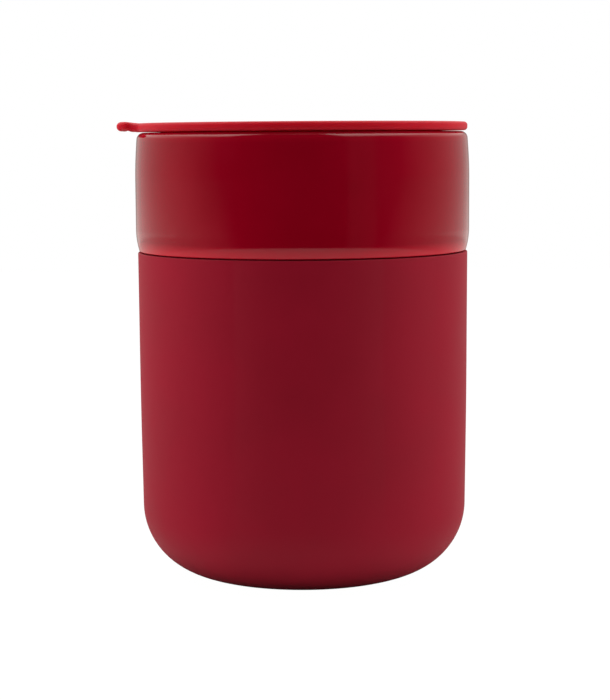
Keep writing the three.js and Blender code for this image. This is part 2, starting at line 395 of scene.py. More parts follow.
def sleeve_profile(
    top_radius,
    height,
    draft,
    wall,
    floor,
    edge_round,
    bow,
    bow_height,
    bow_round,
    base_corner,
    groove_radius,
    groove_width,
    groove_depth,
    groove_round,
):
    """Standing face with its grip groove, rounded bottom, side, mouth, and the inside down to the floor."""
    foot_radius = top_radius - draft * height
    floor_radius = top_radius - wall - draft * (height - floor)
    bow_radius = top_radius - draft * (height - bow_height) + bow
    groove_in = groove_radius - groove_width / 2
    groove_out = groove_radius + groove_width / 2
    return [
        (0, 0, 0),
        (groove_in, 0, groove_round),
        (groove_in, groove_depth, groove_round),
        (groove_out, groove_depth, groove_round),
        (groove_out, 0, groove_round),
        (foot_radius, 0, base_corner),
        (bow_radius, bow_height, bow_round),
        (top_radius, height, edge_round),
        (top_radius - wall, height, edge_round),
        (floor_radius, floor, base_corner - wall),
        (0, floor, 0),
    ]


def cup_profile(
    base,
    seat_radius,
    draft,
    corner,
    foot_width,
    foot_depth,
    foot_round,
    wall,
    floor,
    inner_corner,
    band_radius,
    band_bottom,
    tuck,
    tuck_height,
    lower_round,
    lower_edge_round,
    shoulder_round,
    rim_top,
    rim_lean,
    rim_lean_height,
    rim_lean_round,
    rim_outer_round,
    rim_inner_round,
):
    """Foot ring, seat for the sleeve, shoulder, glazed band, rolled rim, and the bore down to the floor."""
    seat_foot = seat_radius - draft * (band_bottom - base)
    foot_inner = seat_foot - corner - foot_width
    inner_floor = base + foot_depth + floor
    bore_radius = seat_radius - wall
    bore_foot = bore_radius - draft * (band_bottom - inner_floor)
    return [
        (0, base + foot_depth, 0),
        (foot_inner, base + foot_depth, foot_round),
        (foot_inner, base, foot_round),
        (seat_foot, base, corner),
        (seat_radius, band_bottom, shoulder_round),
        (band_radius - tuck, band_bottom, lower_edge_round),
        (band_radius, band_bottom + tuck_height, lower_round),
        (band_radius, rim_top - rim_lean_height, rim_lean_round),
        (band_radius - rim_lean, rim_top, rim_outer_round),
        (bore_radius, rim_top, rim_inner_round),
        (bore_radius, band_bottom, rim_lean_round),
        (bore_foot, inner_floor, inner_corner),
        (0, inner_floor, 0),
    ]


def seal_profile(inner, top, height, body, lip_radius, lip_root, lip_tip, edge_round):
    """A band that fills the lid's groove, with lips that bear on the bore."""
    outer = inner + body
    bottom = top - height
    pitch = height / SEAL_LIPS
    lips = []
    for i in range(SEAL_LIPS):
        middle = bottom + pitch * (i + 0.5)
        lips.append((outer, middle - lip_root / 2, edge_round))
        lips.append((lip_radius, middle - lip_tip / 2, edge_round))
        lips.append((lip_radius, middle + lip_tip / 2, edge_round))
        lips.append((outer, middle + lip_root / 2, edge_round))
    return [
        (inner, top, 0),
        (inner, bottom, edge_round),
        (outer, bottom, edge_round),
        *lips,
        (outer, top, edge_round),
        (inner, top, 0),
    ]


def silicone_sleeve(finish):
    return turned_piece(
        "sleeve_shell",
        sleeve_profile,
        finish,
        SLEEVE_WAVE,
        SLEEVE_WAVE_LENGTH,
        top_radius=SLEEVE_RADIUS,
        height=SLEEVE_HEIGHT,
        draft=SIDE_DRAFT,
        wall=SLEEVE_WALL,
        floor=SLEEVE_FLOOR,
        edge_round=SLEEVE_EDGE_ROUND,
        bow=SIDE_BOW,
        bow_height=SIDE_BOW_HEIGHT,
        bow_round=SIDE_BOW_ROUND,
        base_corner=BASE_CORNER,
        groove_radius=GRIP_GROOVE_RADIUS,
        groove_width=GRIP_GROOVE_WIDTH,
        groove_depth=GRIP_GROOVE_DEPTH,
        groove_round=GRIP_GROOVE_ROUND,
    )


def ceramic_cup(finish):
    return turned_piece(
        "glazed_cup",
        cup_profile,
        finish,
        GLAZE_WAVE,
        GLAZE_WAVE_LENGTH,
        base=CUP_BASE,
        seat_radius=SEAT_RADIUS,
        draft=SIDE_DRAFT,
        corner=CUP_CORNER,
        foot_width=FOOT_WIDTH,
        foot_depth=FOOT_DEPTH,
        foot_round=FOOT_ROUND,
        wall=CUP_WALL,
        floor=CUP_FLOOR,
        inner_corner=CUP_INNER_CORNER,
        band_radius=BAND_RADIUS,
        band_bottom=BAND_BOTTOM,
        tuck=BAND_TUCK,
        tuck_height=BAND_TUCK_HEIGHT,
        lower_round=BAND_LOWER_ROUND,
        lower_edge_round=BAND_EDGE_ROUND,
        shoulder_round=SHOULDER_ROUND,
        rim_top=RIM_TOP,
        rim_lean=RIM_LEAN,
        rim_lean_height=RIM_LEAN_HEIGHT,
        rim_lean_round=RIM_LEAN_ROUND,
        rim_outer_round=RIM_OUTER_ROUND,
        rim_inner_round=RIM_INNER_ROUND,
    )


def lid_seal(finish):
    return turned_piece(
        "seal_ring",
        seal_profile,
        finish,
        SEAL_WAVE,
        SEAL_WAVE_LENGTH,
        inner=GROOVE_RADIUS + SEAL_CLEARANCE,
        top=GROOVE_TOP - SEAL_CLEARANCE,
        height=GROOVE_HEIGHT - 2 * SEAL_CLEARANCE,
        body=SEAL_BODY,
        lip_radius=COLLAR_RADIUS,
        lip_root=SEAL_LIP_ROOT,
        lip_tip=SEAL_LIP_TIP,
        edge_round=SEAL_ROUND,
    )


# Lid, lofted through rings of points


def plan_arc(centre, radius, start, end, steps, hollow=False):
    """Points of an arc in plan, without its last one, and the direction out of the outline at each."""
    swing = start + (end - start) * np.arange(steps) / steps
    away = np.column_stack((np.cos(swing), np.sin(swing)))
    return np.asarray(centre) + radius * away, -away if hollow else away


def plate_outline():
    """Plan of the plate with its tab, anticlockwise: points and the directions out of it."""
    half = TAB_WIDTH / 2
    fillet_y = half + TAB_FILLET
    fillet_x = -math.sqrt((LID_RADIUS + TAB_FILLET) ** 2 - fillet_y**2)
    leave = math.atan2(fillet_y, -fillet_x)
    corner_x = min(TAB_CORNER - TAB_TIP, fillet_x)
    corner = corner_x + TAB_TIP
    quarter = math.pi / 2
    steps = PLAN_ARC_STEPS
    edge_y = np.linspace(half - corner, corner - half, steps, endpoint=False)[1:]
    tip = np.column_stack((np.full_like(edge_y, -TAB_TIP), edge_y))
    tip_out = np.tile((-1.0, 0.0), (len(tip), 1))
    runs = [
        plan_arc((0, 0), LID_RADIUS, leave - math.pi, math.pi - leave, TURN_STEPS),
        plan_arc((fillet_x, fillet_y), TAB_FILLET, -leave, -quarter, steps, hollow=True),
        plan_arc((corner_x, half - corner), corner, quarter, 2 * quarter, steps + 1),
        (tip, tip_out),
        plan_arc((corner_x, corner - half), corner, 2 * quarter, 3 * quarter, steps),
        plan_arc((fillet_x, -fillet_y), TAB_FILLET, quarter, leave, steps, hollow=True),
    ]
    return np.vstack([points for points, _ in runs]), np.vstack([out for _, out in runs])


def eased(value, start, end):
    """0 up to start, 1 from end on, and a smooth rise between them."""
    share = np.clip((value - start) / (end - start), 0, 1)
    return share * share * (3 - 2 * share)


def top_height(plan):
    """Height of the lid's top: level on the plate, rising along the tab to its bead."""
    return LID_TOP + TAB_RISE * eased(-plan[:, 0], LID_RADIUS, HOLLOW_AT)


def under_height(plan):
    """Height of the plate's underside: level, then a finger hollow under the tab, then the bead."""
    reach = -plan[:, 0]
    hollow = TAB_HOLLOW * eased(reach, LID_RADIUS + TAB_ROOT, HOLLOW_AT)
    bead = (TAB_HOLLOW - BEAD_UNDER) * eased(reach, HOLLOW_AT, BEAD_AT)
    return LID_UNDER + hollow - bead


def lifted(plan, height):
    """Plan points with a height, given for all or for each."""
    return np.column_stack((plan, np.broadcast_to(height, len(plan))))


def circle(angles, radius):
    """Plan points of a circle about the axis, at these angles."""
    return radius * np.column_stack((np.cos(angles), np.sin(angles)))


def rings_to_circle(plan, radius, height_of):
    """Rings that lead inwards from a plan outline to a circle about the axis, and the circle's angles."""
    angles = np.arctan2(plan[:, 1], plan[:, 0])
    end = circle(angles, radius)
    shares = np.linspace(0, 1, FLAT_STEPS + 1)
    plans = [plan + (end - plan) * share for share in shares]
    return [lifted(each, height_of(each)) for each in plans], angles


def inset_rings(outline, out, height_of):
    """Rings from just within the plate's rounded edge to just short of the inset outline."""
    insets = np.linspace(TAB_BEAD, PLATE_INSET, INSET_STEPS + 2)[1:-1]
    plans = [outline - out * inset for inset in insets]
    return [lifted(each, height_of(each)) for each in plans]


def plate_edge_rings(outline, out):
    """Rings round the plate's edge from underside to top, rounder at the tab's bead."""
    edge_round = LID_EDGE_ROUND + (TAB_BEAD - LID_EDGE_ROUND) * eased(-outline[:, 0], HOLLOW_AT, BEAD_AT)
    inner = outline - out * edge_round[:, None]
    top = top_height(inner)
    under = under_height(inner)
    edge_round = np.minimum(edge_round, (top - under) / 2)
    quarter = np.linspace(0, math.pi / 2, EDGE_STEPS + 1)
    lower = [
        lifted(inner + out * (edge_round * math.sin(t))[:, None], under + edge_round * (1 - math.cos(t)))
        for t in quarter
    ]
    upper = [
        lifted(inner + out * (edge_round * math.cos(t))[:, None], top - edge_round * (1 - math.sin(t)))
        for t in quarter
    ]
    return lower + upper


def rounded_profile(corners):
    """Points of a profile through corners (radius, height, rounding), with an arc at each rounded one."""
    at = [Vector(corner[:2]) for corner in corners]
    points = []
    for i, (_, _, rounding) in enumerate(corners):
        if not rounding:
            points.append(at[i])
            continue
        back = (at[i - 1] - at[i]).normalized()
        ahead = (at[i + 1] - at[i]).normalized()
        half_angle = back.angle(ahead) / 2
        centre = at[i] + (back + ahead).normalized() * (rounding / math.sin(half_angle))
        start = at[i] + back * (rounding / math.tan(half_angle)) - centre
        turn = (math.pi - 2 * half_angle) * math.copysign(1, ahead.cross(back))
        for step in range(EDGE_STEPS + 1):
            points.append(centre + Matrix.Rotation(turn * step / EDGE_STEPS, 2) @ start)
    return points


def plug_profile():
    """From the underside within the plug, round its wall, groove and collar, to the plate's underside."""
    return rounded_profile(
        [
            (PLUG_INNER_RADIUS - PLUG_ROOT_ROUND, LID_UNDER, 0),
            (PLUG_INNER_RADIUS, LID_UNDER, PLUG_ROOT_ROUND),
            (PLUG_INNER_RADIUS, PLUG_BOTTOM, PLUG_ROUND),
            (FLANGE_RADIUS, PLUG_BOTTOM, PLUG_ROUND),
            (FLANGE_RADIUS, GROOVE_BOTTOM, GROOVE_ROUND),
            (GROOVE_RADIUS, GROOVE_BOTTOM, GROOVE_ROUND),
            (GROOVE_RADIUS, GROOVE_TOP, GROOVE_ROUND),
            (COLLAR_RADIUS, GROOVE_TOP, GROOVE_ROUND),
            (COLLAR_RADIUS, LID_UNDER, PLUG_ROOT_ROUND),
            (COLLAR_RADIUS + PLUG_ROOT_ROUND, LID_UNDER, 0),
        ]
    )


def sip_plan(margin):
    """Plan of the sip opening, a slot along an arc with round ends, grown by a margin."""
    middle = PLUG_INNER_RADIUS - SIP_MARGIN - SIP_WIDTH / 2
    half = SIP_WIDTH / 2 + margin
    swing = (SIP_SPAN - SIP_WIDTH) / 2 / middle
    end_x = middle * math.cos(swing)
    end_y = middle * math.sin(swing)
    steps = HOLE_STEPS // 4
    runs = [
        plan_arc((0, 0), middle + half, -swing, swing, steps),
        plan_arc((end_x, end_y), half, swing, swing + math.pi, steps),
        plan_arc((0, 0), middle - half, swing, -swing, steps),
        plan_arc((end_x, -end_y), half, math.pi - swing, 2 * math.pi - swing, steps),
    ]
    return np.vstack([points for points, _ in runs])


def vent_plan(margin):
    """Plan of the vent hole, grown by a margin."""
    centre = (VENT_MARGIN - PLUG_INNER_RADIUS, 0)
    return plan_arc(centre, VENT_RADIUS + margin, 0, 2 * math.pi, HOLE_STEPS)[0]


def hole_rings(plan_of, profile):
    """Rings down a hole: each profile point is (margin of the hole's plan, height)."""
    return [lifted(plan_of(margin), height) for margin, height in profile]


def sip_profile():
    """Down from the lid's top into the drip well, across its floor and through the plate."""
    well = LID_TOP - WELL_DEPTH
    return rounded_profile(
        [
            (WELL_MARGIN + 2 * HOLE_ROUND, LID_TOP, 0),
            (WELL_MARGIN, LID_TOP, HOLE_ROUND),
            (WELL_MARGIN, well, HOLE_ROUND),
            (0, well, HOLE_ROUND),
            (0, LID_UNDER, HOLE_ROUND),
            (HOLE_ROUND, LID_UNDER, 0),
        ]
    )


def vent_profile():
    """Straight down through the plate, with rounded edges."""
    return rounded_profile(
        [
            (2 * HOLE_ROUND, LID_TOP, 0),
            (0, LID_TOP, HOLE_ROUND),
            (0, LID_UNDER, HOLE_ROUND),
            (HOLE_ROUND, LID_UNDER, 0),
        ]
    )


def lid_rings():
    """Rings from the flat underside within the plug, round the plug and the plate, to the flat of the top."""
    outline, out = plate_outline()
    inset = outline - out * PLATE_INSET
    under, under_angles = rings_to_circle(inset, COLLAR_RADIUS + 2 * PLUG_ROOT_ROUND, under_height)
    top, _ = rings_to_circle(inset, TOP_FLAT_RADIUS, top_height)
    plug = [lifted(circle(under_angles, radius), height) for radius, height in plug_profile()]
    under = inset_rings(outline, out, under_height) + under
    top = inset_rings(outline, out, top_height) + top
    return plug + under[::-1] + plate_edge_rings(outline, out) + top


def lofted(mesh, rings):
    """Adds faces between neighbouring closed rings, and returns the first and last ring's edges."""
    rows = [[mesh.verts.new(point) for point in ring] for ring in rings]
    for lower, upper in zip(rows, rows[1:]):
        for i in range(len(lower)):
            face = mesh.faces.new((lower[i - 1], lower[i], upper[i], upper[i - 1]))
            face.smooth = True
    ends = []
    for row in (rows[0], rows[-1]):
        ends.append([mesh.edges.get((row[i - 1], row[i])) for i in range(len(row))])
    return ends


def press_in_lid(finish):
    """Lid in one moulding: plate, tab and plug, with the sip opening, its drip well and a vent."""
    mesh = bmesh.new()
    under_edge, top_edge = lofted(mesh, lid_rings())
    sip_top, sip_under = lofted(mesh, hole_rings(sip_plan, sip_profile()))
    vent_top, vent_under = lofted(mesh, hole_rings(vent_plan, vent_profile()))
    for loops in (top_edge + sip_top + vent_top, under_edge + sip_under + vent_under):
        bmesh.ops.triangle_fill(mesh, use_beauty=True, edges=loops)
    bmesh.ops.remove_doubles(mesh, verts=mesh.verts, dist=MERGE_DISTANCE)
    bmesh.ops.recalc_face_normals(mesh, faces=mesh.faces)
    data = bpy.data.meshes.new("lid_moulding")
    mesh.to_mesh(data)
    mesh.free()
    data.materials.append(finish)
    return new_object("lid_moulding", data)


# Finishes

# Glaze: its two tones in soft pools, its lighter tone at the edges (partly thin glaze, partly painted light),
# its gloss and its orange peel
GLAZE_TONES = ((0.302, 0.0005, 0.0115, 1), (0.336, 0.0008, 0.014, 1))
GLAZE_POOL = 18 * MM
# Lighter tone of the edges: thin glaze, with painted light of the floor and of the rim's rounding in it
GLAZE_THIN_AND_LIT = (0.68, 0.008, 0.03, 1)
GLAZE_ROUGHNESS = (0.05, 0.08)
GLAZE_GLOSS_PATCH = 9 * MM
PEEL_SIZE = 2.5 * MM
PEEL_DETAIL = 1.0
PEEL_DEPTH = 0.004 * MM

# Lighter edge tone, partly thin glaze and partly painted light where the floor lights the band's lower edge
# and the rim's
# rounding catches light: how far up the band and down from the rim it reaches, how much of it is there, and
# its blend at the shoulder
LOWER_THIN_AND_LIT_REACH = 3.2 * MM
LOWER_THIN_AND_LIT_SHARE = 0.9
RIM_THIN_AND_LIT_REACH = 2.8 * MM
RIM_THIN_AND_LIT_SHARE = 0.3
THIN_AND_LIT_BLEND = 1 * MM

# Bare clay on the foot's standing face
CLAY_TONES = ((0.62, 0.53, 0.42, 1), (0.5, 0.41, 0.31, 1))
CLAY_SPECK = 0.5 * MM
CLAY_SPECK_SPAN = (0.45, 0.7)
BARE_FOOT = 0.25 * MM
BARE_BLEND = 0.1 * MM

# Sleeve's silicone: mottled tones, dust and moulded grain
SLEEVE_TONES = ((0.29, 0.0021, 0.018, 1), (0.32, 0.0028, 0.021, 1))
SLEEVE_MOTTLE = 22 * MM
SLEEVE_ROUGHNESS = (0.56, 0.64)
SLEEVE_GRAIN = 0.45 * MM
SLEEVE_GRAIN_DEPTH = 0.02 * MM
DUST = (0.355, 0.008, 0.029, 1)
DUST_GRAIN = 0.35 * MM
DUST_SPAN = (0.55, 0.8)
DUST_SHARE = 0.25

# Lid's plastic: mottled tones and the mould's texture
LID_TONES = ((0.48, 0.0045, 0.019, 1), (0.53, 0.0065, 0.022, 1))
LID_MOTTLE = 15 * MM
LID_ROUGHNESS = (0.5, 0.6)
LID_GRAIN = 0.3 * MM
LID_GRAIN_DEPTH = 0.015 * MM

# Seal's silicone: mottled tones and a fine grain
SEAL_TONES = ((0.42, 0.012, 0.028, 1), (0.5, 0.018, 0.036, 1))
SEAL_MOTTLE = 8 * MM
SEAL_ROUGHNESS = (0.4, 0.52)
SEAL_GRAIN = 0.4 * MM
SEAL_GRAIN_DEPTH = 0.012 * MM

# Detail of plain noise, and of the mottling and the sleeve's grain
NOISE_DETAIL = 2.0
MOTTLE_DETAIL = 3.0

# Places of a Mix node's colour sockets, whose names its other types share
MIX_SHARE = 0
MIX_FIRST = 6
MIX_SECOND = 7
MIX_RESULT = 2


def empty_finish(name):
    """A material with an empty node tree."""
    finish = bpy.data.materials.new(name)
    finish.use_nodes = True
    finish.node_tree.nodes.clear()
    return finish, finish.node_tree


def new_finish(name, **fixed):
    """A material with one Principled shader, its sockets that are alike all over, and Object coordinates."""
    finish, tree = empty_finish(name)
    shader = add(tree, "ShaderNodeBsdfPrincipled")
    for label, value in fixed.items():
        shader.inputs[label.replace("_", " ")].default_value = value
    add(tree, "ShaderNodeOutputMaterial", {"Surface": shader.outputs["BSDF"]})
    coordinates = add(tree, "ShaderNodeTexCoord").outputs["Object"]
    return finish, tree, shader, coordinates


def noise(tree, coordinates, grain, detail=NOISE_DETAIL):
    """Even noise whose grains are about this size."""
    settings = {"Vector": coordinates, "Scale": 1 / grain, "Detail": detail}
    return add(tree, "ShaderNodeTexNoise", settings).outputs["Fac"]


def ranged(tree, value, low, high, to_low, to_high):
    """A value from one range brought to another, and held at its ends."""
    settings = {
        "Value": value,
        "From Min": low,
        "From Max": high,
        "To Min": to_low,
        "To Max": to_high,
    }
    return add(tree, "ShaderNodeMapRange", settings).outputs["Result"]


def patches(tree, coordinates, size, detail=NOISE_DETAIL):
    """Soft patches of about this size, from 0 to 1."""
    return ranged(tree, noise(tree, coordinates, size, detail), *NOISE_SPAN, 0.0, 1.0)


def mixed(tree, share, first, second):
    """Colour between two colours."""
    settings = {MIX_SHARE: share, MIX_FIRST: first, MIX_SECOND: second}
    return add(tree, "ShaderNodeMix", settings, data_type="RGBA").outputs[MIX_RESULT]


def window(tree, value, edges):
    """1 between the two inner edges, 0 outside the two outer ones, and even slopes between."""
    low, full_low, full_high, high = edges
    rise = ranged(tree, value, low, full_low, 0.0, 1.0)
    return Size(tree, rise) * ranged(tree, value, full_high, high, 1.0, 0.0)


def mixed_shader(tree, share, first, second):
    """Shader between two shaders."""
    return add(tree, "ShaderNodeMixShader", {0: share, 1: first, 2: second}).outputs["Shader"]


def bumped(tree, height, depth):
    """Normal of a surface with this height field, whose values of 0 and 1 lie this far apart."""
    return add(tree, "ShaderNodeBump", {"Height": height, "Distance": depth}).outputs["Normal"]


def level_part(tree, vector):
    """The vector without its height."""
    level = add(tree, "ShaderNodeVectorMath", {0: vector, 1: (1, 1, 0)}, operation="MULTIPLY")
    return level.outputs["Vector"]


def glaze_finish():
    """Glossy red glaze with an orange peel, lighter at its edges as thin glaze with painted light in it, and
    bare clay under the foot.
    """
    finish, tree, shader, at = new_finish("Red_glaze", Specular_IOR_Level=0.5)
    height = add(tree, "ShaderNodeSeparateXYZ", {"Vector": at}).outputs["Z"]
    deep = mixed(tree, patches(tree, at, GLAZE_POOL), *GLAZE_TONES)
    # Lighter edges: partly thin glaze, partly painted light where the floor lights the lower edge and the rim
    # catches light
    glaze = mixed(tree, glaze_thinness(tree, at, height), deep, GLAZE_THIN_AND_LIT)
    speckle = ranged(tree, noise(tree, at, CLAY_SPECK), *CLAY_SPECK_SPAN, 0.0, 1.0)
    clay = mixed(tree, speckle, *CLAY_TONES)
    bare_top = CUP_BASE + BARE_FOOT
    bare = ranged(tree, height, bare_top, bare_top + BARE_BLEND, 1.0, 0.0)
    feed(tree, shader.inputs["Base Color"], mixed(tree, bare, glaze, clay))
    gloss = ranged(tree, noise(tree, at, GLAZE_GLOSS_PATCH), *NOISE_SPAN, *GLAZE_ROUGHNESS)
    roughness = add(tree, "ShaderNodeMath", {0: gloss, 1: bare}, operation="MAXIMUM")
    feed(tree, shader.inputs["Roughness"], roughness.outputs["Value"])
    peel = bumped(tree, noise(tree, at, PEEL_SIZE, PEEL_DETAIL), PEEL_DEPTH)
    feed(tree, shader.inputs["Normal"], peel)
    return finish


def glaze_thinness(tree, at, height):
    """Share of the lighter edge tone, partly thin glaze and partly painted light: most at the band's lower
    edge, less at the rim, none elsewhere.
    """
    radius = add(tree, "ShaderNodeVectorMath", {0: level_part(tree, at)}, operation="LENGTH")
    outside = ranged(tree, radius.outputs["Value"], SEAT_RADIUS, SEAT_RADIUS + THIN_AND_LIT_BLEND, 0.0, 1.0)
    lower = ranged(tree, height, BAND_BOTTOM, BAND_BOTTOM + LOWER_THIN_AND_LIT_REACH, LOWER_THIN_AND_LIT_SHARE, 0.0)
    rim = ranged(tree, height, RIM_TOP - RIM_THIN_AND_LIT_REACH, RIM_TOP, 0.0, RIM_THIN_AND_LIT_SHARE)
    return (Size(tree, outside) * lower + rim).output


def sleeve_finish():
    """Matte red silicone: fine moulded grain, slight mottling, a trace of dust and a soft sheen."""
    finish, tree, shader, at = new_finish(
        "Sleeve_silicone",
        Specular_IOR_Level=0.2,
        Sheen_Weight=0.05,
        Sheen_Roughness=0.45,
        Sheen_Tint=(1.0, 0.45, 0.5, 1),
    )
    mottle = patches(tree, at, SLEEVE_MOTTLE, MOTTLE_DETAIL)
    silicone = mixed(tree, mottle, *SLEEVE_TONES)
    dust = ranged(tree, noise(tree, at, DUST_GRAIN), *DUST_SPAN, 0.0, DUST_SHARE)
    feed(tree, shader.inputs["Base Color"], mixed(tree, dust, silicone, DUST))
    feed(tree, shader.inputs["Roughness"], ranged(tree, mottle, 0.0, 1.0, *SLEEVE_ROUGHNESS))
    grain = bumped(tree, noise(tree, at, SLEEVE_GRAIN, MOTTLE_DETAIL), SLEEVE_GRAIN_DEPTH)
    feed(tree, shader.inputs["Normal"], grain)
    return finish


def lid_finish():
    """Satin red plastic with the fine texture of its mould, that lets a little light through its edge."""
    finish, tree, shader, at = new_finish(
        "Lid_plastic",
        Specular_IOR_Level=0.24,
        Subsurface_Weight=0.5,
        Subsurface_Radius=(1.0, 0.1, 0.1),
        Subsurface_Scale=8 * MM,
    )
    plastic = mixed(tree, patches(tree, at, LID_MOTTLE, MOTTLE_DETAIL), *LID_TONES)
    feed(tree, shader.inputs["Base Color"], plastic)
    fine = noise(tree, at, LID_GRAIN)
    feed(tree, shader.inputs["Roughness"], ranged(tree, fine, *NOISE_SPAN, *LID_ROUGHNESS))
    feed(tree, shader.inputs["Normal"], bumped(tree, fine, LID_GRAIN_DEPTH))
    return finish


def seal_finish():
    """Soft red silicone of the seal, mottled in tone and gloss, with a fine grain."""
    finish, tree, shader, at = new_finish("Seal_silicone", Specular_IOR_Level=0.4)
    mottle = patches(tree, at, SEAL_MOTTLE, MOTTLE_DETAIL)
    feed(tree, shader.inputs["Base Color"], mixed(tree, mottle, *SEAL_TONES))
    feed(tree, shader.inputs["Roughness"], ranged(tree, mottle, 0.0, 1.0, *SEAL_ROUGHNESS))
    grain = bumped(tree, noise(tree, at, SEAL_GRAIN), SEAL_GRAIN_DEPTH)
    feed(tree, shader.inputs["Normal"], grain)
    return finish


# Studio

# Floor: a round pool of pale card, by distance from the axis, dimmed at its core under the object by painted
# shadow and brightest in a ring round it by painted light, and what the camera sees of it
FLOOR_REACH = 1.2
FLOOR_HEIGHT = -2 * SLEEVE_WAVE
FLOOR_POOL_EDGES = (0.016, 0.023, 0.27, 0.29)
FLOOR_NEAR = 0.14
FLOOR_NEAR_CARD = 0.54
FLOOR_FAR = 0.2
FLOOR_FAR_CARD = 0.52
# Painted shadow dims the card's core under the object; painted light brightens a ring of card round it
FLOOR_PAINTED_SHADOW_EDGES = (0.030, 0.042)
FLOOR_PAINTED_SHADOW_SHARE = 0.15
FLOOR_PAINTED_LIGHT_EDGES = (0.039, 0.047, 0.060, 0.085)
FLOOR_PAINTED_LIGHT_CARD = 0.34
FLOOR_GLOW = 1.06
FLOOR_SHADE_SHARE = 0.06

# Soft lights left and right of the camera, by how far they turn from it about the axis
FILL_LEFT_POWER = 8.2
FILL_RIGHT_POWER = 7.8
FILL_SIZE = 1.0
FILL_DISTANCE = 1.0
FILL_HEIGHT = 0.2
FILL_LEFT_TURN = math.radians(-74)
FILL_RIGHT_TURN = math.radians(78)
FILL_TOWARDS = Vector((0, 0, 0.06))

# Tint of the soft lights, the dome and the sky
LIGHT_TINT = (1.0, 0.985, 0.92, 1)

# Sides of the sky: they brighten towards the back, come further forward on the left and below the horizon,
# and gain in a low band there
SIDE_LIGHT = 0.632
SIDE_FROM = math.radians(63)
SIDE_TILT = 0.11
SIDE_SLANT = 0.2
SIDE_SLANT_DEPTH = 0.06
SIDE_LOW_GAIN = 0.38
SIDE_LOW_EDGES = (-0.12, -0.09, -0.06, -0.028)

# Faint upright strip at the front right
STRIP_LIGHT = 0.052
STRIP_EDGES = (0.60, 0.66, 0.84, 0.88)
STRIP_SIDE_EDGES = (0.0, 0.05)

# Broad light above the horizon at the back, with a gap in the sides' light straight behind,
# and a little light from below
BACK_LIGHT = 0.64
BACK_FROM = math.radians(60)
BACK_EDGES = (0.17, 0.34, 0.7, 0.84)
BACK_GAP_EDGES = (-0.99, -0.94)
BACK_GAP_SHARE = 0.25
UNDER_LIGHT = 0.096
UNDER_EDGES = (-0.8, -0.5)

# High light of the sides and the back, the share of it that is in the world, the light straight above,
# and the dark front
HIGH_SIDE_LIGHT = 2.9
HIGH_SIDE_SOFT_SHARE = 0.405
HIGH_SIDE_EDGES = (0.5, 0.86)
ZENITH_LIGHT = 1.28
ZENITH_EDGES = (0.94, 0.985)
FRONT_SHADE_TILT = -0.24
FRONT_SHADE_EDGES = (0.68, 0.80)

# Dome
DOME_RADIUS = 3
DOME_STEPS = 32


def plain_floor():
    """Pale plain floor, just below the waves of the standing face, and evenly white to the eye.

    A round pool of it lights the object as white card does. The rest lets light through, as all of it does
    from below.
    """
    square = ((-1, -1), (1, -1), (1, 1), (-1, 1))
    corners = [(x * FLOOR_REACH, y * FLOOR_REACH, FLOOR_HEIGHT) for x, y in square]
    data = bpy.data.meshes.new("floor")
    data.from_pydata(corners, [], [(0, 1, 2, 3)])
    finish, tree = empty_finish("Floor_white")
    at = add(tree, "ShaderNodeTexCoord").outputs["Object"]
    distance = add(tree, "ShaderNodeVectorMath", {0: at}, operation="LENGTH").outputs["Value"]
    paleness = ranged(tree, distance, FLOOR_NEAR, FLOOR_FAR, FLOOR_NEAR_CARD, FLOOR_FAR_CARD)
    # Painted light: a brighter ring of card round the object
    ring = window(tree, distance, FLOOR_PAINTED_LIGHT_EDGES) * FLOOR_PAINTED_LIGHT_CARD
    # Painted shadow: the card is darker under the object
    painted_shadow = ranged(tree, distance, *FLOOR_PAINTED_SHADOW_EDGES, FLOOR_PAINTED_SHADOW_SHARE, 1.0)
    colour = Size(tree, paleness) * painted_shadow + ring
    card = add(tree, "ShaderNodeBsdfDiffuse", {"Color": colour}).outputs["BSDF"]
    glow = add(tree, "ShaderNodeEmission", {"Strength": FLOOR_GLOW}).outputs["Emission"]
    clear = add(tree, "ShaderNodeBsdfTransparent").outputs["BSDF"]
    pool = mixed_shader(tree, window(tree, distance, FLOOR_POOL_EDGES), clear, card)
    to_the_eye = mixed_shader(tree, FLOOR_SHADE_SHARE, glow, card)
    seen = add(tree, "ShaderNodeLightPath").outputs["Is Camera Ray"]
    above = mixed_shader(tree, seen, pool, to_the_eye)
    below = add(tree, "ShaderNodeNewGeometry").outputs["Backfacing"]
    add(tree, "ShaderNodeOutputMaterial", {"Surface": mixed_shader(tree, below, above, clear)})
    data.materials.append(finish)
    floor = new_object("floor", data)


def side_fills():
    """Broad soft lights left and right of the camera that give no mirror images of themselves."""
    left = ("Fill_left", FILL_LEFT_TURN, FILL_LEFT_POWER)
    right = ("Fill_right", FILL_RIGHT_TURN, FILL_RIGHT_POWER)
    for name, turn, power in (left, right):
        data = bpy.data.lights.new(name, "AREA")
        data.energy = power
        data.color = LIGHT_TINT[:3]
        data.size = FILL_SIZE
        fill = new_object(name, data)
        fill.location = (FILL_DISTANCE * math.sin(turn), -FILL_DISTANCE * math.cos(turn), FILL_HEIGHT)
        fill.rotation_euler = (FILL_TOWARDS - fill.location).to_track_quat("-Z", "Y").to_euler()
        fill.visible_glossy = False
        fill.visible_camera = False


def sky_place(tree, direction):
    """Height of a direction, and how far it points to the front and to the right, each from -1 to 1."""
    height = add(tree, "ShaderNodeSeparateXYZ", {"Vector": direction}).outputs["Z"]
    around = add(tree, "ShaderNodeVectorMath", {0: level_part(tree, direction)}, operation="NORMALIZE")
    compass = add(tree, "ShaderNodeSeparateXYZ", {"Vector": around.outputs["Vector"]})
    front = Size(tree, compass.outputs["Y"]) * -1
    right = Size(tree, compass.outputs["X"])
    return height, front, right


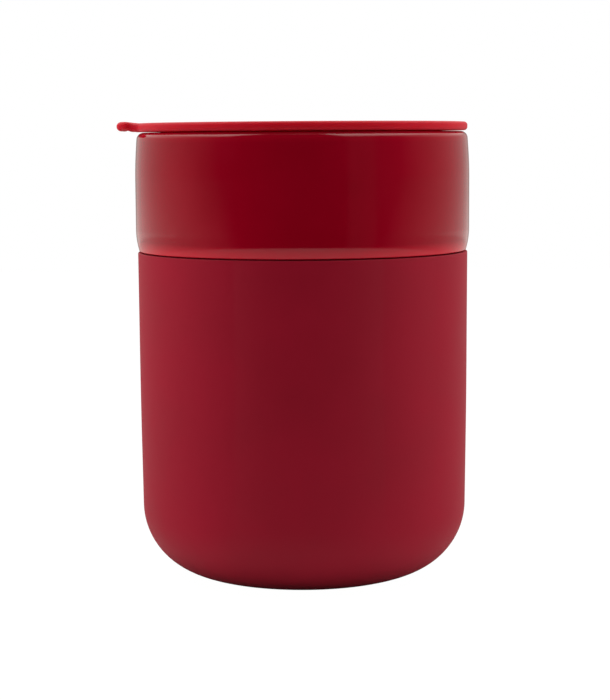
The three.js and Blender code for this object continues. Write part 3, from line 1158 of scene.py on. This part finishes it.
def high_side_light(tree, height, front, right):
    """Light that stands high at the sides and the back, and leaves out the front."""
    shade_place = front + right * FRONT_SHADE_TILT
    unshaded = ranged(tree, shade_place.output, *FRONT_SHADE_EDGES, 1.0, 0.0)
    return Size(tree, ranged(tree, height, *HIGH_SIDE_EDGES, 0.0, HIGH_SIDE_LIGHT)) * unshaded


def mirrored_dome():
    """A clear dome that adds the rest of the high side light to mirror images alone."""
    mesh = bmesh.new()
    bmesh.ops.create_uvsphere(mesh, u_segments=DOME_STEPS, v_segments=DOME_STEPS // 2, radius=DOME_RADIUS)
    data = bpy.data.meshes.new("dome")
    mesh.to_mesh(data)
    mesh.free()
    finish, tree = empty_finish("Dome_light")
    finish.cycles.emission_sampling = "NONE"
    at = add(tree, "ShaderNodeTexCoord").outputs["Object"]
    direction = add(tree, "ShaderNodeVectorMath", {0: at}, operation="NORMALIZE").outputs["Vector"]
    light = high_side_light(tree, *sky_place(tree, direction)) * (1 - HIGH_SIDE_SOFT_SHARE)
    glow = add(tree, "ShaderNodeEmission", {"Color": LIGHT_TINT, "Strength": light}).outputs["Emission"]
    clear = add(tree, "ShaderNodeBsdfTransparent").outputs["BSDF"]
    both = add(tree, "ShaderNodeAddShader", {0: glow, 1: clear}).outputs["Shader"]
    add(tree, "ShaderNodeOutputMaterial", {"Surface": both})
    data.materials.append(finish)
    dome = new_object("dome", data)
    dome.visible_camera = False
    dome.visible_diffuse = False
    dome.visible_shadow = False


def studio_world():
    """White to the eye. It lights the object from high up, the sides and the back, and a little from below.

    The front is dark but for a faint strip at the right.
    """
    world = bpy.data.worlds.new("Studio")
    bpy.context.scene.world = world
    world.use_nodes = True
    tree = world.node_tree
    tree.nodes.clear()
    height, front, right = sky_place(tree, add(tree, "ShaderNodeTexCoord").outputs["Generated"])
    slant = ranged(tree, height, -SIDE_SLANT_DEPTH, 0.0, -SIDE_SLANT, 0.0)
    side_place = front + right * SIDE_TILT + slant
    gap = ranged(tree, front.output, *BACK_GAP_EDGES, BACK_GAP_SHARE, 1.0)
    low = window(tree, height, SIDE_LOW_EDGES) * SIDE_LOW_GAIN + 1
    side = low * gap * ranged(tree, side_place.output, math.cos(SIDE_FROM), -1.0, 0.0, SIDE_LIGHT)
    strip_side = ranged(tree, right.output, *STRIP_SIDE_EDGES, 0.0, STRIP_LIGHT)
    strip = window(tree, front.output, STRIP_EDGES) * strip_side
    back_side = ranged(tree, front.output, math.cos(BACK_FROM), -1.0, 0.0, BACK_LIGHT)
    back = window(tree, height, BACK_EDGES) * back_side
    under = ranged(tree, height, *UNDER_EDGES, UNDER_LIGHT, 0.0)
    soft_sides = high_side_light(tree, height, front, right) * HIGH_SIDE_SOFT_SHARE
    zenith = ranged(tree, height, *ZENITH_EDGES, 0.0, ZENITH_LIGHT)
    overhead = add(tree, "ShaderNodeMath", {0: soft_sides, 1: zenith}, operation="MAXIMUM")
    light = side + strip + back + under + overhead.outputs["Value"]
    lit = add(tree, "ShaderNodeBackground", {"Color": LIGHT_TINT, "Strength": light}).outputs["Background"]
    white = add(tree, "ShaderNodeBackground", {"Color": (1, 1, 1, 1)}).outputs["Background"]
    seen = add(tree, "ShaderNodeLightPath").outputs["Is Camera Ray"]
    add(tree, "ShaderNodeOutputWorld", {"Surface": mixed_shader(tree, seen, lit, white)})


def photo_camera():
    """Camera at the photograph's place, looking slightly down, with its small yaw and roll."""
    right = Vector((math.cos(CAMERA_YAW), -math.sin(CAMERA_YAW), 0))
    forward = Vector((math.sin(CAMERA_YAW), math.cos(CAMERA_YAW), 0)) * math.cos(CAMERA_PITCH)
    forward.z = -math.sin(CAMERA_PITCH)
    up = right.cross(forward)
    rolled_right = right * math.cos(CAMERA_ROLL) - up * math.sin(CAMERA_ROLL)
    rolled_up = right * math.sin(CAMERA_ROLL) + up * math.cos(CAMERA_ROLL)
    turn = Matrix((rolled_right, rolled_up, -forward)).transposed()
    data = bpy.data.cameras.new("Camera")
    data.lens = CAMERA_LENS
    data.sensor_width = CAMERA_SENSOR
    camera = new_object("Camera", data)
    camera.matrix_world = Matrix.Translation(CAMERA_AT) @ turn.to_4x4()
    bpy.context.scene.camera = camera


photo_camera()
plain_floor()
side_fills()
mirrored_dome()
studio_world()
bpy.context.scene.view_settings.view_transform = "Standard"

sleeve = silicone_sleeve(sleeve_finish())
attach(sleeve, "sleeve")
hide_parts("silicone_sleeve")

cup = ceramic_cup(glaze_finish())
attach(cup, "cup")
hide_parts("ceramic_cup")

seal = lid_seal(seal_finish())
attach(seal, "seal")
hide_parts("lid_seal")

lid = press_in_lid(lid_finish())
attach(lid, "lid")
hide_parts("lid")
